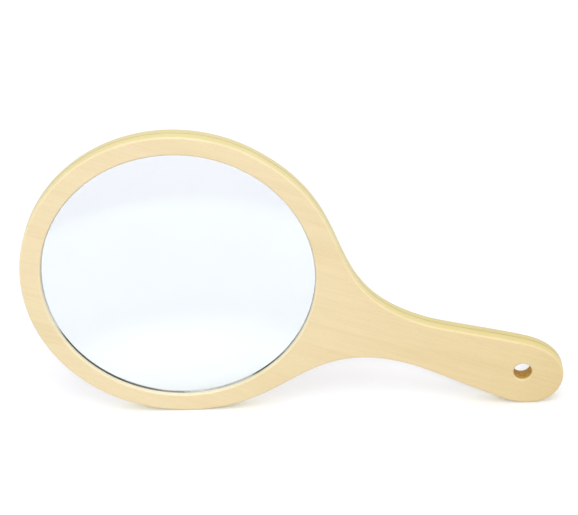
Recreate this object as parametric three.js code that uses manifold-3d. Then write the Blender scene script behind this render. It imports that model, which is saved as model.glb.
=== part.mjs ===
// A round wooden hand mirror with a flat handle, standing on its edge.
// Two boards of one outline are glued face to face. The front board is a ring
// with a handle, the back board is solid, and the glass lies in the ring on
// mounting tape. Millimetres, +Z up, the glass faces -Y, the handle points to +X.
import * as THREE from 'three';
import { mergeVertices } from 'three/addons/utils/BufferGeometryUtils.js';
import Module from 'manifold-3d';

const wasm = await Module();
wasm.setup();

// Outline, measured along the handle (x) and across it (y) from the head's centre
const headRadius = 86;
const handleReach = 224;        // head centre to the handle's tip
const shoulderAngle = 77;       // degrees from the handle's axis, where the head's arc ends
const shoulderPull = 70;        // how far the shoulder's curve follows the head
const neck = { x: 140, half: 13.8, pullIn: 68, pullOut: 10 };
const grip = { x: 199, half: 19.2, pullIn: 12 };
const tipRoundness = 0.6;       // 0.55 is an elliptical end, more is squarer
const curveSteps = 20;          // straight pieces in each free curve
const roundSteps = 96;          // straight pieces in a full turn

// Layers, counted from the back face towards the glass side
const boardThickness = 5;
const glueThickness = 0.25;
const glueInset = 0.3;          // the glue stops short of the edge and leaves a fine groove
const edgeRadius = 1.5;         // rounding on every outside edge and on the window's lip
const edgeSteps = 4;

// Window and what lies in it
const windowRadius = 75;
const windowShift = 0.6;        // its centre lies this far from the head's towards the handle
const glassRecess = 1.5;        // face of the wood to face of the glass
const glassRadius = 74.8;
const glassThickness = 2;
const glassSeam = 0.2;          // ground chamfer on the glass's edges
const glassDrop = 0.1;          // the disc lies this much low in its window
const coatRadius = 74.5;
const silverThickness = 0.125;
const paintThickness = 0.125;
const tapeThickness = 1.5;
const tapeLength = 55;
const tapeWidth = 19;
const tapeDistance = 42;        // middle of the window to the middle of a strip

// Hanging hole through the grip, drilled a little above the handle's axis
const hole = { x: 200.5, y: 1, radius: 5, ease: 1.2, steps: 32 };

const gluePlane = boardThickness;
const frontPlane = gluePlane + glueThickness;
const facePlane = frontPlane + boardThickness;
const glassFace = facePlane - glassRecess;
const glassBack = glassFace - glassThickness;
const silverBack = glassBack - silverThickness;
const paintBack = silverBack - paintThickness;
const beyond = 5;               // how far a cutting tool runs past the wood

const wood = { color: 0xe9d3a6, roughness: 0.5, metalness: 0 };
const glue = { color: 0xb79a62, roughness: 0.6, metalness: 0 };
const glass = { color: 0xf2f7f6, roughness: 0.02, metalness: 0 };
const silver = { color: 0xf0f2f4, roughness: 0.03, metalness: 1 };
const paint = { color: 0x4a4f55, roughness: 0.6, metalness: 0 };
const tape = { color: 0xdcdcd6, roughness: 0.7, metalness: 0 };

// One side of the outline, from the far side of the head to the handle's tip
function halfOutline() {
  const angle = THREE.MathUtils.degToRad(shoulderAngle);
  const side = new THREE.Path();
  const shoulderX = headRadius * Math.cos(angle);
  const shoulderY = headRadius * Math.sin(angle);
  side.moveTo(shoulderX, shoulderY);
  side.bezierCurveTo(
    shoulderX + shoulderPull * Math.sin(angle), shoulderY - shoulderPull * Math.cos(angle),
    neck.x - neck.pullIn, neck.half, neck.x, neck.half);
  side.bezierCurveTo(neck.x + neck.pullOut, neck.half,
    grip.x - grip.pullIn, grip.half, grip.x, grip.half);
  side.bezierCurveTo(grip.x + tipRoundness * (handleReach - grip.x), grip.half,
    handleReach, tipRoundness * grip.half, handleReach, 0);
  const arcSteps = Math.round(roundSteps * (Math.PI - angle) / (2 * Math.PI));
  const arc = [];
  for (let i = 0; i < arcSteps; i += 1) {
    const turn = Math.PI - (Math.PI - angle) * i / arcSteps;
    arc.push(new THREE.Vector2(headRadius * Math.cos(turn), headRadius * Math.sin(turn)));
  }
  return arc.concat(side.getPoints(curveSteps));
}

function outlineShape(half) {
  const otherSide = half.slice(1, -1).reverse().map((p) => new THREE.Vector2(p.x, -p.y));
  return new THREE.Shape(half.concat(otherSide).reverse());
}

// Angle between the handle and the floor when head and handle end both touch it:
// the slope of the line that bridges the two over the neck
function restingAngle(half) {
  const head = half.filter((p) => p.x < neck.x);
  const handle = half.filter((p) => p.x > neck.x);
  const slopes = head.map((p) => Math.max(...handle.map((q) => (q.y - p.y) / (q.x - p.x))));
  return -Math.atan(Math.min(...slopes));
}

function toSolid(geometry) {
  const bare = geometry.clone();
  bare.deleteAttribute('normal');
  bare.deleteAttribute('uv');
  const merged = mergeVertices(bare, 1e-4);
  return new wasm.Manifold(new wasm.Mesh({
    numProp: 3,
    vertProperties: new Float32Array(merged.attributes.position.array),
    triVerts: new Uint32Array(merged.index.array),
  }));
}

function toGeometry(solid) {
  const { vertProperties, triVerts } = solid.getMesh();
  const geometry = new THREE.BufferGeometry();
  geometry.setAttribute('position', new THREE.BufferAttribute(vertProperties, 3));
  geometry.setIndex(new THREE.BufferAttribute(triVerts, 1));
  geometry.computeVertexNormals();
  return geometry;
}

// A turned shape from (radius, height) pairs that start and end on the axis
function turned(profile, steps) {
  const points = profile.map(([radius, height]) => new THREE.Vector2(radius, height));
  return new THREE.LatheGeometry(points, steps).rotateX(Math.PI / 2);
}

function slab(low, high) {
  const size = 2 * (headRadius + handleReach);
  return new THREE.BoxGeometry(size, size, high - low).translate(0, 0, (low + high) / 2);
}

// The whole wooden body with rounded outside edges, drawn in by inset all round
function blank(shape, inset) {
  return new THREE.ExtrudeGeometry(shape, {
    depth: facePlane - 2 * edgeRadius,
    curveSegments: 1,
    bevelThickness: edgeRadius,
    bevelSize: edgeRadius,
    bevelOffset: -edgeRadius - inset,
    bevelSegments: edgeSteps,
  }).translate(0, 0, edgeRadius);
}

// Quarter-round flare that opens a hole of this radius up to the given plane
function flare(radius, round, plane, side) {
  const points = [];
  for (let i = 0; i <= edgeSteps; i += 1) {
    const turn = Math.PI / 2 * i / edgeSteps;
    const out = radius + round * (1 - Math.cos(turn));
    points.push([out, plane - side * round * (1 - Math.sin(turn))]);
  }
  return points;
}

function windowCutter() {
  const lip = flare(windowRadius, edgeRadius, facePlane, 1);
  const flareEnd = windowRadius + edgeRadius;
  return turned([[0, gluePlane - beyond], [windowRadius, gluePlane - beyond], ...lip,
    [flareEnd, facePlane + beyond], [0, facePlane + beyond]], roundSteps)
    .translate(windowShift, 0, 0);
}

function holeCutter() {
  const backRim = flare(hole.radius, hole.ease, 0, -1).reverse();
  const frontRim = flare(hole.radius, hole.ease, facePlane, 1);
  const rimRadius = hole.radius + hole.ease;
  return turned([[0, -beyond], [rimRadius, -beyond], ...backRim, ...frontRim,
    [rimRadius, facePlane + beyond], [0, facePlane + beyond]], hole.steps)
    .translate(hole.x, hole.y, 0);
}

// The slice of the wooden body between two planes, with its holes cut
function layer(shape, inset, low, high, cutters) {
  let solid = toSolid(blank(shape, inset)).intersect(toSolid(slab(low, high)));
  for (const cutter of cutters) {
    solid = solid.subtract(toSolid(cutter));
  }
  return toGeometry(solid);
}

// A flat disc with chamfered edges, its back on z = 0
function disc(radius, thickness, chamfer) {
  const profile = chamfer > 0
    ? [[0, 0], [radius - chamfer, 0], [radius, chamfer], [radius, thickness - chamfer],
      [radius - chamfer, thickness], [0, thickness]]
    : [[0, 0], [radius, 0], [radius, thickness], [0, thickness]];
  return turned(profile, roundSteps);
}

function piece(name, geometry, finish) {
  const mesh = new THREE.Mesh(geometry, new THREE.MeshStandardMaterial(finish));
  mesh.name = name;
  return mesh;
}

// Both boards and the glue between them
function makeBoards(shape) {
  const drill = holeCutter();
  const opening = windowCutter();
  const boards = new THREE.Group();
  boards.add(
    piece('back_board', layer(shape, 0, 0, gluePlane, [drill]), wood),
    piece('glue_line', layer(shape, glueInset, gluePlane, frontPlane, [drill, opening]), glue),
    piece('front_board', layer(shape, 0, frontPlane, facePlane, [drill, opening]), wood));
  return boards;
}

// The glass with its silver and paint, in the window
function makeGlass(angle) {
  const pane = piece('mirror_glass', disc(glassRadius, glassThickness, glassSeam), glass);
  const coat = piece('silver_coating', disc(coatRadius, silverThickness, 0), silver);
  const back = piece('backing_paint', disc(coatRadius, paintThickness, 0), paint);
  pane.position.z = glassBack;
  coat.position.z = silverBack;
  back.position.z = paintBack;
  const stack = new THREE.Group();
  stack.add(pane, coat, back);
  stack.position.set(windowShift + glassDrop * Math.sin(angle), -glassDrop * Math.cos(angle), 0);
  return stack;
}

// Four strips of double-sided mounting tape in a square on the back board
function makeTapes() {
  const strips = new THREE.Group();
  ['right', 'top', 'left', 'bottom'].forEach((side, i) => {
    const strip = piece(`mounting_tape_${side}`,
      new THREE.BoxGeometry(tapeWidth, tapeLength, tapeThickness), tape);
    const turn = i * Math.PI / 2;
    strip.position.set(tapeDistance * Math.cos(turn), tapeDistance * Math.sin(turn),
      gluePlane + tapeThickness / 2);
    strip.rotation.z = turn;
    strips.add(strip);
  });
  strips.position.x = windowShift;
  return strips;
}

// The mirror stood on its edge, with the middle of its footprint at the origin
function handMirror() {
  const half = halfOutline();
  const angle = restingAngle(half);
  const flat = new THREE.Group();
  flat.add(makeBoards(outlineShape(half)), makeGlass(angle), makeTapes());
  flat.rotation.z = -angle;
  const upright = new THREE.Group();
  upright.add(flat);
  upright.rotation.x = Math.PI / 2;
  const box = new THREE.Box3().setFromObject(upright, true);
  const middle = box.getCenter(new THREE.Vector3());
  upright.position.set(-middle.x, -middle.y, -box.min.z);
  const whole = new THREE.Group();
  whole.add(upright);
  return whole;
}

export default handMirror();
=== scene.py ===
import math

import bmesh
import bpy
from mathutils import Matrix, Vector


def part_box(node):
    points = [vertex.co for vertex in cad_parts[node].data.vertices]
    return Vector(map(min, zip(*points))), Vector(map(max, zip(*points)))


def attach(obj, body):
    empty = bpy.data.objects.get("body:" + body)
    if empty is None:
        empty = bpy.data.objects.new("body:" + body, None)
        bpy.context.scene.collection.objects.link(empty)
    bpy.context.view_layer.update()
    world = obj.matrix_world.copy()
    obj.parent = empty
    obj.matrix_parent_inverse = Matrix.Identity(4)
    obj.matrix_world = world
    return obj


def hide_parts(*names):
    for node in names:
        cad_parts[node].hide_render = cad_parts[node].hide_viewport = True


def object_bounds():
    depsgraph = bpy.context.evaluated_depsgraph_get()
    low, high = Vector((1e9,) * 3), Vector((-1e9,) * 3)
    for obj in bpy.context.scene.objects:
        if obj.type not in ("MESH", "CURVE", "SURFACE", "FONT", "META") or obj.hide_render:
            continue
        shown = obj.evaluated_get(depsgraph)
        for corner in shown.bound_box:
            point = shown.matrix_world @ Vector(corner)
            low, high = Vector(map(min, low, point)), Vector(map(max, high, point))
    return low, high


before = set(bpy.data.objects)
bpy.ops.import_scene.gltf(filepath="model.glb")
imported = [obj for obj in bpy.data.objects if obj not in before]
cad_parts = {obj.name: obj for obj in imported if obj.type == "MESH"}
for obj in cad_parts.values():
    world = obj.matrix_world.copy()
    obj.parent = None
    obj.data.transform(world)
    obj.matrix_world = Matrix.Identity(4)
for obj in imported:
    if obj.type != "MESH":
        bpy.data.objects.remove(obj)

cad_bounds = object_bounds()

# The outline's driving dimensions, the same as the CAD model's
HEAD_RADIUS = 0.086
HANDLE_REACH = 0.224
SHOULDER_ANGLE = math.radians(77)
SHOULDER_PULL = 0.070
NECK_X, NECK_HALF, NECK_PULL_IN, NECK_PULL_OUT = 0.140, 0.0138, 0.068, 0.010
GRIP_X, GRIP_HALF, GRIP_PULL_IN = 0.199, 0.0192, 0.012
TIP_ROUNDNESS = 0.6
EDGE_RADIUS = 0.0015
WINDOW_RADIUS = 0.075
WINDOW_SHIFT = 0.0006           # from the head's centre to the window's, towards the handle
HOLE = Vector((0.2005, 0.001))
HOLE_RADIUS, HOLE_EASE = 0.005, 0.0012
GLUE_INSET = 0.0003

# Details that differ from the CAD model's by less than half a millimetre, or that it leaves
# out. The CAD's glass is 74.8 mm in radius with a 0.2 mm seam, its coats 74.5 mm, and its
# tape 55 by 19 mm.
GLASS_RADIUS = 0.07488
GLASS_SEAM = 0.0001
COAT_RADIUS = GLASS_RADIUS - GLASS_SEAM
COAT_GAP = 0.00002              # keeps the silver's face just behind the glass
GLUE_WANDER = 0.00006           # how unevenly the glue's edge runs
TAPE_LENGTH, TAPE_WIDTH = 0.0546, 0.0186
TAPE_SOFTENING = 0.0002
TAPE_NOTCH = 0.000045           # depth of the knife's marks along the long sides
JOINT_EASE = 0.00025            # the boards' sanded corners along the glue line

# Runs where the glass's ground edge is near black at its rear: (share of a turn, how much it
# covers).
# The turn starts at -X and goes by the bottom to +X.
DARK_EDGE_RUNS = ((0.066, 0), (0.080, 1), (0.172, 1), (0.182, 0.9), (0.214, 0.8), (0.228, 0.6),
              (0.246, 0.7), (0.262, 0), (0.330, 0), (0.340, 0.85), (0.358, 1), (0.385, 0.6),
              (0.430, 0.45), (0.462, 0.4), (0.485, 0))

# How finely the pieces are made
CURVE_STEPS = 90
ARC_STEPS = 260
WINDOW_STEPS = 360
HOLE_STEPS = 72
TAPE_STEPS = 55
ROUND_STEPS = 9
EASE_STEPS = 3
WALL_RINGS = 1 + EASE_STEPS     # quads between the joint plane and the straight wall
FLAT_LOOP = 0.00025             # a loop this far into each flat face keeps its shading flat

# Colours of the bare wood, and how its parts differ from it
WOOD_LIGHT = (0.670, 0.552, 0.333)
WOOD_DEEP = (0.640, 0.517, 0.296)
WOOD_ROSY = (0.680, 0.539, 0.333)
PLAIN = (1, 1, 1)
BACK_TONE = (0.97, 0.97, 0.95)
# Edge tones: the edge grain's yellower tone, brightened by painted light; the lip's wall tone is a
# painted highlight. Arris tones: painted highlights on the upward roundings of the front board and
# the lip, painted shade on those of the back board.
FRONT_EDGE_TONE_AND_LIGHT, FRONT_ARRIS_HIGHLIGHT = (1.11, 1.20, 0.90), (1.12, 1.14, 1.14)
BACK_EDGE_TONE_AND_LIGHT, BACK_ARRIS_SHADE = (1.07, 1.14, 0.95), (0.94, 0.96, 1.18)
LIP_WALL_HIGHLIGHT, LIP_ARRIS_HIGHLIGHT = (1.25, 1.36, 1.52), (1.12, 1.22, 1.38)
GLUED_TONE = (0.88, 0.84, 0.62)
# Painted shade that darkens the wood towards the handle's tip
SHADE_NEAR_TIP, SHADE_AT_TIP = (0.947, 0.912, 0.79), (0.90, 0.85, 0.68)
NO_OFFSET = (0, 0, 0)
BACK_GRAIN_OFFSET = (0.37, 0.11, 0.23)


# ---------- places, all read from the frame ----------

def centre(node):
    low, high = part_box(node)
    return (low + high) / 2


ALONG = (centre("mounting_tape_right") - centre("mounting_tape_left")).normalized()
ACROSS = Vector((-ALONG.z, 0, ALONG.x))
WINDOW = (centre("mounting_tape_left") + centre("mounting_tape_right")) / 2
HEAD = WINDOW - ALONG * WINDOW_SHIFT
BACK_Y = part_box("back_board")[1].y
BACK_JOINT_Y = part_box("back_board")[0].y
FRONT_JOINT_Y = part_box("front_board")[1].y
FACE_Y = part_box("front_board")[0].y


def place(x, z, y):
    """A point x along the handle and z across it from the head's centre, at depth y."""
    point = HEAD + ALONG * x + ACROSS * z
    return Vector((point.x, y, point.z))


# ---------- outlines ----------

def bezier(p0, p1, p2, p3, steps):
    points = []
    for i in range(steps):
        t = i / steps
        a, b, c, d = (1 - t) ** 3, 3 * (1 - t) ** 2 * t, 3 * (1 - t) * t * t, t ** 3
        points.append(Vector(p0) * a + Vector(p1) * b + Vector(p2) * c + Vector(p3) * d)
    return points


def half_outline():
    """One side of the outline, from the far side of the head to just before the tip."""
    points = []
    for i in range(ARC_STEPS):
        turn = math.pi - (math.pi - SHOULDER_ANGLE) * i / ARC_STEPS
        points.append(Vector((math.cos(turn), math.sin(turn))) * HEAD_RADIUS)
    cos, sin = math.cos(SHOULDER_ANGLE), math.sin(SHOULDER_ANGLE)
    shoulder = (HEAD_RADIUS * cos, HEAD_RADIUS * sin)
    pulled = (shoulder[0] + SHOULDER_PULL * sin, shoulder[1] - SHOULDER_PULL * cos)
    neck, grip = (NECK_X, NECK_HALF), (GRIP_X, GRIP_HALF)
    tip_pull = TIP_ROUNDNESS * (HANDLE_REACH - GRIP_X)
    points += bezier(shoulder, pulled, (NECK_X - NECK_PULL_IN, NECK_HALF), neck, CURVE_STEPS)
    points += bezier(neck, (NECK_X + NECK_PULL_OUT, NECK_HALF),
                     (GRIP_X - GRIP_PULL_IN, GRIP_HALF), grip, CURVE_STEPS)
    points += bezier(grip, (GRIP_X + tip_pull, GRIP_HALF),
                     (HANDLE_REACH, TIP_ROUNDNESS * GRIP_HALF), (HANDLE_REACH, 0), CURVE_STEPS)
    return points


def outline_loop():
    """(point, direction into the wood) all round the outline."""
    half = half_outline()
    tip = Vector((HANDLE_REACH, 0))
    points = half + [tip] + [Vector((p.x, -p.y)) for p in reversed(half[1:])]
    loop = []
    for i, point in enumerate(points):
        run = (points[(i + 1) % len(points)] - points[i - 1]).normalized()
        loop.append((point, Vector((run.y, -run.x))))
    return loop


def round_loop(middle, radius, steps):
    """(point, direction into the wood) all round a hole."""
    loop = []
    for i in range(steps):
        turn = 2 * math.pi * i / steps
        out = Vector((math.cos(turn), math.sin(turn)))
        loop.append((middle + out * radius, out))
    return loop


def window_loop():
    return round_loop(Vector((WINDOW_SHIFT, 0)), WINDOW_RADIUS, WINDOW_STEPS)


def hole_loop():
    return round_loop(HOLE, HOLE_RADIUS, HOLE_STEPS)


def hand_sanded(i, count, phase):
    """A rounding's share of its nominal radius, which wanders a little along the edge."""
    turn = 2 * math.pi * i / count
    return 1 + 0.07 * math.sin(3 * turn + phase) + 0.04 * math.sin(8 * turn + 2 * phase)


# ---------- boards ----------

def edge_rings(loop, radius, joint_y, face_y, phase):
    """Rings of points from the joint plane over the edge to the face."""
    side = 1 if face_y > joint_y else -1
    columns = []
    for i, (point, inward) in enumerate(loop):
        rounding = radius * hand_sanded(i, len(loop), phase)
        steps = [(JOINT_EASE + FLAT_LOOP, 0.0)]
        for k in range(EASE_STEPS + 1):
            turn = math.pi / 2 * k / EASE_STEPS
            steps.append((JOINT_EASE * (1 - math.sin(turn)), JOINT_EASE * (1 - math.cos(turn))))
        height = abs(face_y - joint_y)
        for k in range(ROUND_STEPS + 1):
            turn = math.pi / 2 * k / ROUND_STEPS
            steps.append((rounding * (1 - math.cos(turn)), height - rounding * (1 - math.sin(turn))))
        steps.append((rounding + FLAT_LOOP, height))
        column = []
        for inset, up in steps:
            at = point + inward * inset
            column.append(place(at.x, at.y, joint_y + side * up))
        columns.append(column)
    return [list(ring) for ring in zip(*columns)]


def add_wall(mesh, rings, materials):
    """Quads between neighbouring rings; returns the edges of the first and last ring.
    The materials are those of the corner at the joint, the straight wall and the rounding."""
    made = [[mesh.verts.new(point) for point in ring] for ring in rings]
    for k, (low, high) in enumerate(zip(made, made[1:])):
        for i in range(len(low)):
            j = (i + 1) % len(low)
            quad = mesh.faces.new((low[i], low[j], high[j], high[i]))
            part = 0 if k < WALL_RINGS else 1 if k == WALL_RINGS else 2
            quad.material_index = materials[part]
    ends = []
    for ring in (made[0], made[-1]):
        ends.append([mesh.edges.get((ring[i - 1], ring[i])) for i in range(len(ring))])
    return ends


def board(name, loops, joint_y, face_y):
    """A board between its joint plane and its face, from (loop, rounding, materials, phase)."""
    mesh = bmesh.new()
    joint_edges, face_edges = [], []
    for loop, radius, materials, phase in loops:
        first, last = add_wall(mesh, edge_rings(loop, radius, joint_y, face_y, phase), materials)
        joint_edges += first
        face_edges += last
    for edges in (joint_edges, face_edges):
        bmesh.ops.triangle_fill(mesh, use_beauty=True, use_dissolve=False, edges=edges)
    bmesh.ops.recalc_face_normals(mesh, faces=mesh.faces)
    return finished(name, mesh)


def finished(name, mesh, smooth_up_to=32):
    """An object of this mesh, smooth across edges of up to so many degrees."""
    data = bpy.data.meshes.new(name)
    mesh.to_mesh(data)
    mesh.free()
    data.shade_smooth()
    data.set_sharp_from_angle(angle=math.radians(smooth_up_to))
    piece = bpy.data.objects.new(name, data)
    bpy.context.scene.collection.objects.link(piece)
    return piece


def glue_bead():
    """The glue between the boards: a thin sheet with an uneven edge."""
    mesh = bmesh.new()
    loops = [(outline_loop(), GLUE_INSET), (window_loop(), 0.0), (hole_loop(), GLUE_INSET)]
    caps = [[], []]
    for loop, inset in loops:
        rings = []
        for y in (BACK_JOINT_Y, (BACK_JOINT_Y + FRONT_JOINT_Y) / 2, FRONT_JOINT_Y):
            ring = []
            for i, (point, inward) in enumerate(loop):
                wander = GLUE_WANDER * math.sin(0.9 * i) * math.sin(0.13 * i + 1.0)
                at = point + inward * (inset + wander)
                ring.append(place(at.x, at.y, y))
            rings.append(ring)
        for cap, edges in zip(caps, add_wall(mesh, rings, (0, 0, 0))):
            cap += edges
    for edges in caps:
        bmesh.ops.triangle_fill(mesh, use_beauty=True, use_dissolve=False, edges=edges)
    bmesh.ops.recalc_face_normals(mesh, faces=mesh.faces)
    return finished("glue_bead", mesh)


# ---------- glass, silver and tape ----------

def disc(name, radius, seam, back_y, face_y, middle, edge_material):
    """A flat disc, its edges cut by seam. Its two flat faces take the first material."""
    mesh = bmesh.new()
    profile = [(radius, back_y), (radius, face_y)]
    if seam:
        profile = [(radius - seam, back_y), (radius, back_y - seam), (radius, face_y + seam),
                   (radius - seam, face_y)]
    rings = []
    for distance, y in profile:
        ring = []
        for i in range(WINDOW_STEPS):
            turn = 2 * math.pi * i / WINDOW_STEPS
            ring.append(Vector((middle.x + distance * math.cos(turn), y,
                                middle.z + distance * math.sin(turn))))
        rings.append([mesh.verts.new(point) for point in ring])
    for low, high in zip(rings, rings[1:]):
        for i in range(WINDOW_STEPS):
            j = (i + 1) % WINDOW_STEPS
            mesh.faces.new((low[i], low[j], high[j], high[i])).material_index = edge_material
    for ring, y in ((rings[0], back_y), (rings[-1], face_y)):
        hub = mesh.verts.new((middle.x, y, middle.z))
        for i in range(WINDOW_STEPS):
            mesh.faces.new((hub, ring[i], ring[(i + 1) % WINDOW_STEPS]))
    bmesh.ops.recalc_face_normals(mesh, faces=mesh.faces)
    return finished(name, mesh, smooth_up_to=20)


def tape_outline(inset):
    """Points round a strip of tape: (along it, across it), with a knife's marks in its sides."""
    side = []
    for i in range(TAPE_STEPS + 1):
        notch = TAPE_NOTCH if i % 2 and i < TAPE_STEPS else 0
        side.append((i / TAPE_STEPS * TAPE_LENGTH - TAPE_LENGTH / 2, TAPE_WIDTH / 2 - inset - notch))
    return side + [(x, -z) for x, z in reversed(side)]


def tape_strip(node):
    """A strip of mounting tape with softened long edges, turned as its CAD node."""
    side = node.rsplit("_", 1)[1]
    turn = {"right": 0, "top": 1, "left": 2, "bottom": 3}[side] * math.pi / 2
    low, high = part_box(node)
    middle = centre(node)
    out = ALONG * math.cos(turn) + ACROSS * math.sin(turn)
    run = ALONG * -math.sin(turn) + ACROSS * math.cos(turn)
    levels = [(TAPE_SOFTENING, high.y), (0, high.y - TAPE_SOFTENING),
              (0, low.y + TAPE_SOFTENING), (TAPE_SOFTENING, low.y)]
    mesh = bmesh.new()
    rings = []
    for inset, y in levels:
        lift = Vector((0, y - middle.y, 0))
        rings.append([mesh.verts.new(middle + run * x + out * z + lift)
                      for x, z in tape_outline(inset)])
    for first, second in zip(rings, rings[1:]):
        for i in range(len(first)):
            j = (i + 1) % len(first)
            mesh.faces.new((first[i], first[j], second[j], second[i]))
    mesh.faces.new(rings[0])
    mesh.faces.new(rings[-1])
    bmesh.ops.triangulate(mesh, faces=[f for f in mesh.faces if len(f.verts) > 4])
    bmesh.ops.recalc_face_normals(mesh, faces=mesh.faces)
    return finished(node + "_strip", mesh)


# ---------- materials ----------

class Nodes:
    """A short way to add and link shader nodes in one material."""

    def __init__(self, name):
        self.material = bpy.data.materials.new(name)
        self.material.use_nodes = True
        self.tree = self.material.node_tree
        self.shader = self.tree.nodes["Principled BSDF"]

    def add(self, kind, inputs=None, **settings):
        node = self.tree.nodes.new(kind)
        for key, value in settings.items():
            setattr(node, key, value)
        for key, value in (inputs or {}).items():
            if isinstance(value, bpy.types.NodeSocket):
                self.tree.links.new(value, node.inputs[key])
            else:
                node.inputs[key].default_value = value
        return node

    def finish(self, **inputs):
        for key, value in inputs.items():
            socket = self.shader.inputs[key.replace("_", " ")]
            if isinstance(value, bpy.types.NodeSocket):
                self.tree.links.new(value, socket)
            else:
                socket.default_value = value
        return self.material

    def ramp(self, factor, stops):
        node = self.add("ShaderNodeValToRGB", {"Fac": factor})
        while len(node.color_ramp.elements) < len(stops):
            node.color_ramp.elements.new(0.5)
        for element, (position, colour) in zip(node.color_ramp.elements, stops):
            element.position = position
            element.color = (*colour, 1)
        return node.outputs["Color"]

    def mix(self, factor, a, b, blend="MIX"):
        node = self.add("ShaderNodeMix", data_type="RGBA", blend_type=blend)
        for key, value in ((0, factor), (6, a), (7, b)):
            if isinstance(value, bpy.types.NodeSocket):
                self.tree.links.new(value, node.inputs[key])
            else:
                node.inputs[key].default_value = value if key == 0 else (*value, 1)
        return node.outputs[2]

    def math(self, operation, a, b=0.0):
        return self.add("ShaderNodeMath", {0: a, 1: b}, operation=operation).outputs["Value"]

    def share_between(self, value, low, high):
        """0 where the value is at low, 1 where it is at high."""
        return self.add("ShaderNodeMapRange", {
            "Value": value, "From Min": low, "From Max": high}).outputs["Result"]

    def axis(self, vector, letter):
        return self.add("ShaderNodeSeparateXYZ", {"Vector": vector}).outputs[letter]

    def bump(self, height, strength, distance):
        return self.add("ShaderNodeBump", {
            "Height": height, "Strength": strength, "Distance": distance}).outputs["Normal"]

    def grain_space(self, offset):
        """Coordinates with x along the handle, so that the grain runs with it."""
        where = self.add("ShaderNodeTexCoord").outputs["Object"]
        tilt = math.atan2(ALONG.z, ALONG.x)
        return self.add("ShaderNodeMapping", {"Vector": where, "Location": offset,
                                              "Rotation": (0, tilt, 0)}).outputs["Vector"]

    def noise(self, space, stretch, detail=3.0, roughness=0.5, distortion=0.0):
        scaled = self.add("ShaderNodeMapping", {"Vector": space, "Scale": stretch})
        return self.add("ShaderNodeTexNoise", {
            "Vector": scaled.outputs["Vector"], "Scale": 1.0, "Detail": detail,
            "Roughness": roughness, "Distortion": distortion}).outputs["Fac"]


def times(colour, tone):
    return tuple(c * t for c, t in zip(colour, tone))


def grained(nodes, space, tone, streaks, fibres):
    """The colour of the flat wood: soft bands, rosy clouds, streaks, fibres and fine pores, with
    painted shade that darkens it towards the handle's tip.
    """
    bands = nodes.noise(space, (7, 110, 75), detail=3, roughness=0.55, distortion=0.6)
    clouds = nodes.noise(space, (9, 26, 26), detail=2)
    light, deep = times(WOOD_LIGHT, tone), times(WOOD_DEEP, tone)
    base = nodes.ramp(bands, [(0.30, deep), (0.52, light), (0.75, light)])
    rosy_places = nodes.ramp(clouds, [(0.42, (0, 0, 0)), (0.68, (0.6, 0.6, 0.6))])
    base = nodes.mix(rosy_places, base, times(WOOD_ROSY, tone))
    streak_marks = nodes.ramp(streaks, [(0.36, (0.86, 0.83, 0.76)), (0.58, (1, 1, 1))])
    fibre_marks = nodes.ramp(fibres, [(0.38, (0.84, 0.81, 0.74)), (0.52, (1, 1, 1))])
    base = nodes.mix(0.22, base, streak_marks, "MULTIPLY")
    base = nodes.mix(0.20, base, fibre_marks, "MULTIPLY")
    # Painted shade: the wood darkens towards the handle's tip.
    along = nodes.axis(nodes.grain_space(NO_OFFSET), "X")
    far_side = HEAD.dot(ALONG) - HEAD_RADIUS
    tip = HEAD.dot(ALONG) + HANDLE_REACH
    share = nodes.share_between(along, far_side, tip)
    tip_shade = nodes.ramp(share, [(0.35, (1, 1, 1)), (0.92, SHADE_NEAR_TIP), (1.0, SHADE_AT_TIP)])
    base = nodes.mix(1.0, base, tip_shade, "MULTIPLY")
    fine = nodes.add("ShaderNodeMapping", {"Vector": space, "Scale": (260, 1500, 1500)})
    pores = nodes.add("ShaderNodeTexVoronoi", {
        "Vector": fine.outputs["Vector"], "Scale": 1.0, "Randomness": 1.0}).outputs["Distance"]
    specks = nodes.ramp(pores, [(0.10, (0.72, 0.62, 0.50)), (0.17, (1, 1, 1))])
    return nodes.mix(0.40, base, specks, "MULTIPLY")


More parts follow.
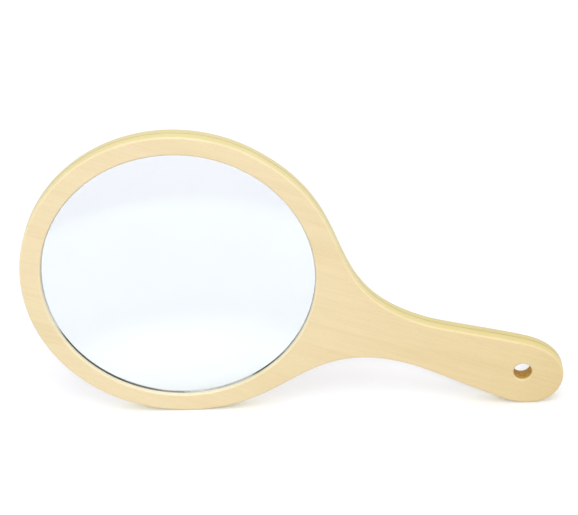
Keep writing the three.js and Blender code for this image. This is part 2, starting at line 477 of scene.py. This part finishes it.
def wood(name, offset, tone, edge_tone_and_light, arris_light, arris_from=0.30):
    """Clear-finished pale wood whose grain runs along the handle.
    Walls take the edge grain's tone, brightened by painted light, and roundings that don't face down
    take painted light on the arris: a painted highlight, which on the back board is painted shade
    instead."""
    nodes = Nodes(name)
    space = nodes.grain_space(offset)
    streaks = nodes.noise(space, (22, 900, 700), detail=4, roughness=0.6)
    fibres = nodes.noise(space, (90, 4200, 3600), detail=2)
    base = grained(nodes, space, tone, streaks, fibres)
    normal = nodes.add("ShaderNodeNewGeometry").outputs["Normal"]
    flat = nodes.math("ABSOLUTE", nodes.axis(normal, "Y"))
    edge = nodes.ramp(flat, [(0.15, (1, 1, 1)), (0.60, (0, 0, 0))])
    # Painted light: the edge tone brightens the walls beyond the face, on top of the edge grain's
    # yellower tone.
    base = nodes.mix(edge, base, nodes.mix(1.0, base, edge_tone_and_light, "MULTIPLY"))
    # Painted light on roundings that face up: a highlight on the front board and the lip, shade on
    # the back board.
    rounded = nodes.ramp(flat, [(arris_from, (0, 0, 0)), (arris_from + 0.40, (1, 1, 1)),
                                (0.90, (1, 1, 1)), (0.995, (0, 0, 0))])
    upward = nodes.share_between(nodes.axis(normal, "Z"), -0.25, 0.30)
    arris = nodes.math("MULTIPLY", rounded, upward)
    base = nodes.mix(arris, base, nodes.mix(1.0, base, arris_light, "MULTIPLY"))
    relief = nodes.mix(0.5, nodes.ramp(streaks, [(0, (0, 0, 0)), (1, (1, 1, 1))]),
                       nodes.ramp(fibres, [(0, (0, 0, 0)), (1, (1, 1, 1))]))
    polish = nodes.ramp(streaks, [(0.2, (0.46,) * 3), (0.8, (0.56,) * 3)])
    nodes.shader.inputs["Coat Weight"].default_value = 0.25
    nodes.shader.inputs["Coat Roughness"].default_value = 0.22
    return nodes.finish(Base_Color=base, Roughness=polish, Normal=nodes.bump(relief, 0.18, 0.00012))


def drilled_wood_shaded():
    """The rougher wall that a drill leaves in the hanging hole, darker from the drilling and from
    painted shade in the hole.
    """
    nodes = Nodes("drilled_wood_shaded")
    rings = nodes.noise(nodes.grain_space(NO_OFFSET), (120, 2600, 300), detail=3)
    # Darker and deeper in colour than the board, partly from the drilling and partly as painted
    # shade inside the hole.
    base = nodes.ramp(rings, [(0.35, (0.36, 0.185, 0.030)), (0.65, (0.64, 0.39, 0.075))])
    return nodes.finish(Base_Color=base, Roughness=0.75, Normal=nodes.bump(rings, 0.3, 0.0002))


def glue():
    """Dried glue: amber-brown, with a little colour change along the joint."""
    nodes = Nodes("dried_glue")
    patches = nodes.noise(nodes.grain_space(NO_OFFSET), (60, 60, 60), detail=2)
    base = nodes.ramp(patches, [(0.3, (0.22, 0.15, 0.05)), (0.7, (0.36, 0.26, 0.10))])
    return nodes.finish(Base_Color=base, Roughness=0.55)


def clear_glass():
    """Float glass with a trace of film on it."""
    nodes = Nodes("clear_glass")
    haze = nodes.noise(nodes.grain_space(NO_OFFSET), (14, 14, 14), detail=2)
    film = nodes.ramp(haze, [(0.45, (0.0, 0.0, 0.0)), (0.9, (0.012, 0.012, 0.012))])
    return nodes.finish(Base_Color=(0.965, 0.99, 0.985, 1), Roughness=film,
                        Transmission_Weight=1.0, IOR=1.52)


def ground_glass():
    """A finely ground edge, near black and opaque over its rear along two runs."""
    nodes = Nodes("ground_glass")
    space = nodes.grain_space(NO_OFFSET)
    grit = nodes.noise(space, (2500, 2500, 2500), detail=2)
    clean = nodes.ramp(grit, [(0.3, (0.93, 0.96, 0.95)), (0.7, (0.98, 1.0, 0.99))])
    satin = nodes.ramp(grit, [(0.3, (0.26,) * 3), (0.7, (0.36,) * 3)])
    middle = centre("mirror_glass")
    round_the_disc = nodes.add("ShaderNodeMapping", {
        "Vector": nodes.add("ShaderNodeTexCoord").outputs["Object"],
        "Location": (-middle.x, -middle.z, 0), "Rotation": (-math.pi / 2, 0, 0)})
    turn = nodes.add("ShaderNodeTexGradient", {
        "Vector": round_the_disc.outputs["Vector"]}, gradient_type="RADIAL").outputs["Fac"]
    cover = nodes.ramp(turn, [(at, (amount,) * 3) for at, amount in DARK_EDGE_RUNS])
    rear = nodes.share_between(nodes.axis(space, "Y"), middle.y - 0.0006, middle.y - 0.0004)
    painted = nodes.math("MULTIPLY", cover, rear)
    base = nodes.mix(painted, clean, (0.012, 0.012, 0.008))
    roughness = nodes.mix(painted, satin, (0.8, 0.8, 0.8))
    return nodes.finish(Base_Color=base, Roughness=roughness, IOR=1.52,
                        Transmission_Weight=nodes.math("SUBTRACT", 1.0, painted))


def silver():
    nodes = Nodes("silver_film")
    clouds = nodes.noise(nodes.grain_space(NO_OFFSET), (20, 20, 20), detail=2)
    base = nodes.ramp(clouds, [(0.3, (0.812, 0.795, 0.810)), (0.7, (0.832, 0.810, 0.820))])
    return nodes.finish(Base_Color=base, Metallic=1.0, Roughness=0.0)


def back_paint():
    nodes = Nodes("back_paint")
    brushed = nodes.noise(nodes.grain_space(NO_OFFSET), (40, 600, 600), detail=3)
    base = nodes.ramp(brushed, [(0.3, (0.055, 0.06, 0.07)), (0.7, (0.085, 0.09, 0.10))])
    return nodes.finish(Base_Color=base, Roughness=0.6)


def tape():
    nodes = Nodes("mounting_tape")
    cells = nodes.noise(nodes.grain_space(NO_OFFSET), (900, 900, 900), detail=3)
    base = nodes.ramp(cells, [(0.3, (0.72, 0.72, 0.68)), (0.7, (0.82, 0.82, 0.79))])
    return nodes.finish(Base_Color=base, Roughness=0.7, Normal=nodes.bump(cells, 0.3, 0.0002))


# ---------- the mirror ----------

def show(piece, nodes, slot, *materials):
    """Give a piece its materials and let it stand for its CAD nodes."""
    for material in materials:
        piece.data.materials.append(material)
    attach(piece, "root")
    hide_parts(*nodes)


def build_boards():
    """Both boards and the glue. A board's materials are, in order, its own wood, the
    drilled wood of the hole, the glued wood at the joint, and the wood of the glass's lip."""
    outline, window, hole = outline_loop(), window_loop(), hole_loop()
    front = board("front_board_wood", [(outline, EDGE_RADIUS, (2, 0, 0), 0.4),
                                       (window, EDGE_RADIUS, (3, 3, 3), 2.0),
                                       (hole, HOLE_EASE, (1, 1, 0), 0.0)], FRONT_JOINT_Y, FACE_Y)
    back = board("back_board_wood", [(outline, EDGE_RADIUS, (2, 0, 0), 1.7),
                                     (hole, HOLE_EASE, (1, 1, 0), 1.0)], BACK_JOINT_Y, BACK_Y)
    drilled = drilled_wood_shaded()
    glued = wood("glued_wood", NO_OFFSET, GLUED_TONE, PLAIN, PLAIN)
    show(front, ["front_board"], "wood",
         wood("front_wood", NO_OFFSET, PLAIN, FRONT_EDGE_TONE_AND_LIGHT, FRONT_ARRIS_HIGHLIGHT), drilled, glued,
         wood("lip_wood", NO_OFFSET, PLAIN, LIP_WALL_HIGHLIGHT, LIP_ARRIS_HIGHLIGHT, 0.0))
    show(back, ["back_board"], "wood",
         wood("back_wood", BACK_GRAIN_OFFSET, BACK_TONE, BACK_EDGE_TONE_AND_LIGHT, BACK_ARRIS_SHADE, 0.06),
         drilled, glued)
    show(glue_bead(), ["glue_line"], "glue", glue())


def build_glass():
    low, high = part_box("mirror_glass")
    film_low, film_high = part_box("silver_coating")
    middle = centre("mirror_glass")
    pane = disc("mirror_pane", GLASS_RADIUS, GLASS_SEAM, high.y - COAT_GAP, low.y, middle, 1)
    film = disc("silver_film", COAT_RADIUS, 0, film_high.y, film_low.y, middle, 0)
    show(pane, ["mirror_glass"], "glass", clear_glass(), ground_glass())
    show(film, ["silver_coating"], "silver", silver())
    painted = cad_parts["backing_paint"]
    painted.data.materials.clear()
    painted.data.materials.append(back_paint())


def build_tape():
    finish = tape()
    for side in ("right", "top", "left", "bottom"):
        node = "mounting_tape_" + side
        show(tape_strip(node), [node], "tape", finish)


# ---------- studio ----------

FLOOR_HALF = 6.0
SPOT_DISTANCE = 1.5
SENSOR_WIDTH, LENS = 36.0, 127.15               # millimetres
CAMERA_AZIMUTH, CAMERA_ELEVATION = 1.77, 29.55  # degrees
CAMERA_ROLL, CAMERA_DISTANCE = -2.29, 1.105
AIM_LEFT, AIM_UP = 0.0016, 0.0979               # from the middle of the footprint


def build_floor():
    half, z = FLOOR_HALF, cad_bounds[0].z
    data = bpy.data.meshes.new("studio_floor")
    data.from_pydata([(-half, -half, z), (half, -half, z), (half, half, z), (-half, half, z)],
                     [], [(0, 1, 2, 3)])
    floor = bpy.data.objects.new("studio_floor", data)
    bpy.context.scene.collection.objects.link(floor)
    nodes = Nodes("floor_white")
    data.materials.append(nodes.finish(Base_Color=(0.945, 0.95, 0.985, 1), Roughness=0.9))
    nodes.shader.inputs["Specular IOR Level"].default_value = 0.1


def direction(azimuth, elevation):
    """Unit vector away from the mirror. Azimuth 0 is in front of the glass, 90 at the handle."""
    a, e = math.radians(azimuth), math.radians(elevation)
    return Vector((math.sin(a) * math.cos(e), -math.cos(a) * math.cos(e), math.sin(e)))


def add_light(name, power, size, azimuth, elevation, distance, colour=(1, 1, 1)):
    """A square softbox aimed at the mirror."""
    lamp = bpy.data.lights.new(name, "AREA")
    lamp.energy, lamp.size, lamp.color = power, size, colour
    light = bpy.data.objects.new(name, lamp)
    away = direction(azimuth, elevation)
    light.location = HEAD + away * distance
    light.rotation_euler = away.to_track_quat("Z", "Y").to_euler()
    bpy.context.scene.collection.objects.link(light)


def add_spot(name, power, radius, blend, target, azimuth, elevation, colour):
    """A spotlight that throws an oval of this radius on the floor, longer along its aim."""
    lamp = bpy.data.lights.new(name, "SPOT")
    lamp.energy, lamp.spot_blend, lamp.shadow_soft_size = power, blend, 0.01
    lamp.spot_size, lamp.color = 2 * math.atan(radius / SPOT_DISTANCE), colour
    light = bpy.data.objects.new(name, lamp)
    away = direction(azimuth, elevation)
    light.location = target + away * SPOT_DISTANCE
    light.rotation_euler = away.to_track_quat("Z", "Y").to_euler()
    bpy.context.scene.collection.objects.link(light)


def build_lights():
    """Two softboxes, and two spots for the light that the mirror throws back on the floor."""
    add_light("key", power=47, size=0.6, azimuth=5, elevation=31, distance=4.0,
              colour=(1.0, 0.99, 0.97))
    add_light("overhead", power=8, size=1.2, azimuth=0, elevation=62, distance=2.0)
    floor = cad_bounds[0].z
    wide = Vector((HEAD.x - 0.014, FACE_Y - 0.138, floor))
    core = Vector((HEAD.x, FACE_Y - 0.047, floor))
    add_spot("patch", power=10, radius=0.115, blend=0.10, target=wide, azimuth=0,
             elevation=80, colour=(0.75, 1.0, 0.8))
    add_spot("patch_core", power=30, radius=0.062, blend=1.0, target=core, azimuth=-90,
             elevation=45, colour=(0.90, 1.0, 0.9))


def build_world():
    world = bpy.data.worlds.new("studio")
    world.use_nodes = True
    background = world.node_tree.nodes["Background"]
    background.inputs["Color"].default_value = (0.965, 0.975, 1.0, 1)
    background.inputs["Strength"].default_value = 0.92
    bpy.context.scene.world = world


def build_camera():
    """The view from in front and above, with the photographer's slight roll."""
    low, high = cad_bounds
    aim = Vector(((low.x + high.x) / 2 - AIM_LEFT, low.y, low.z + AIM_UP))
    away = direction(CAMERA_AZIMUTH, CAMERA_ELEVATION)
    roll = Matrix.Rotation(math.radians(CAMERA_ROLL), 4, "Z")
    data = bpy.data.cameras.new("camera")
    data.lens, data.sensor_width = LENS, SENSOR_WIDTH
    camera = bpy.data.objects.new("camera", data)
    turn = away.to_track_quat("Z", "Y").to_matrix().to_4x4() @ roll
    camera.matrix_world = Matrix.Translation(aim + away * CAMERA_DISTANCE) @ turn
    bpy.context.scene.collection.objects.link(camera)
    bpy.context.scene.camera = camera


build_camera()
build_boards()
build_glass()
build_tape()
build_floor()
build_world()
build_lights()
bpy.context.scene.view_settings.view_transform = "Standard"
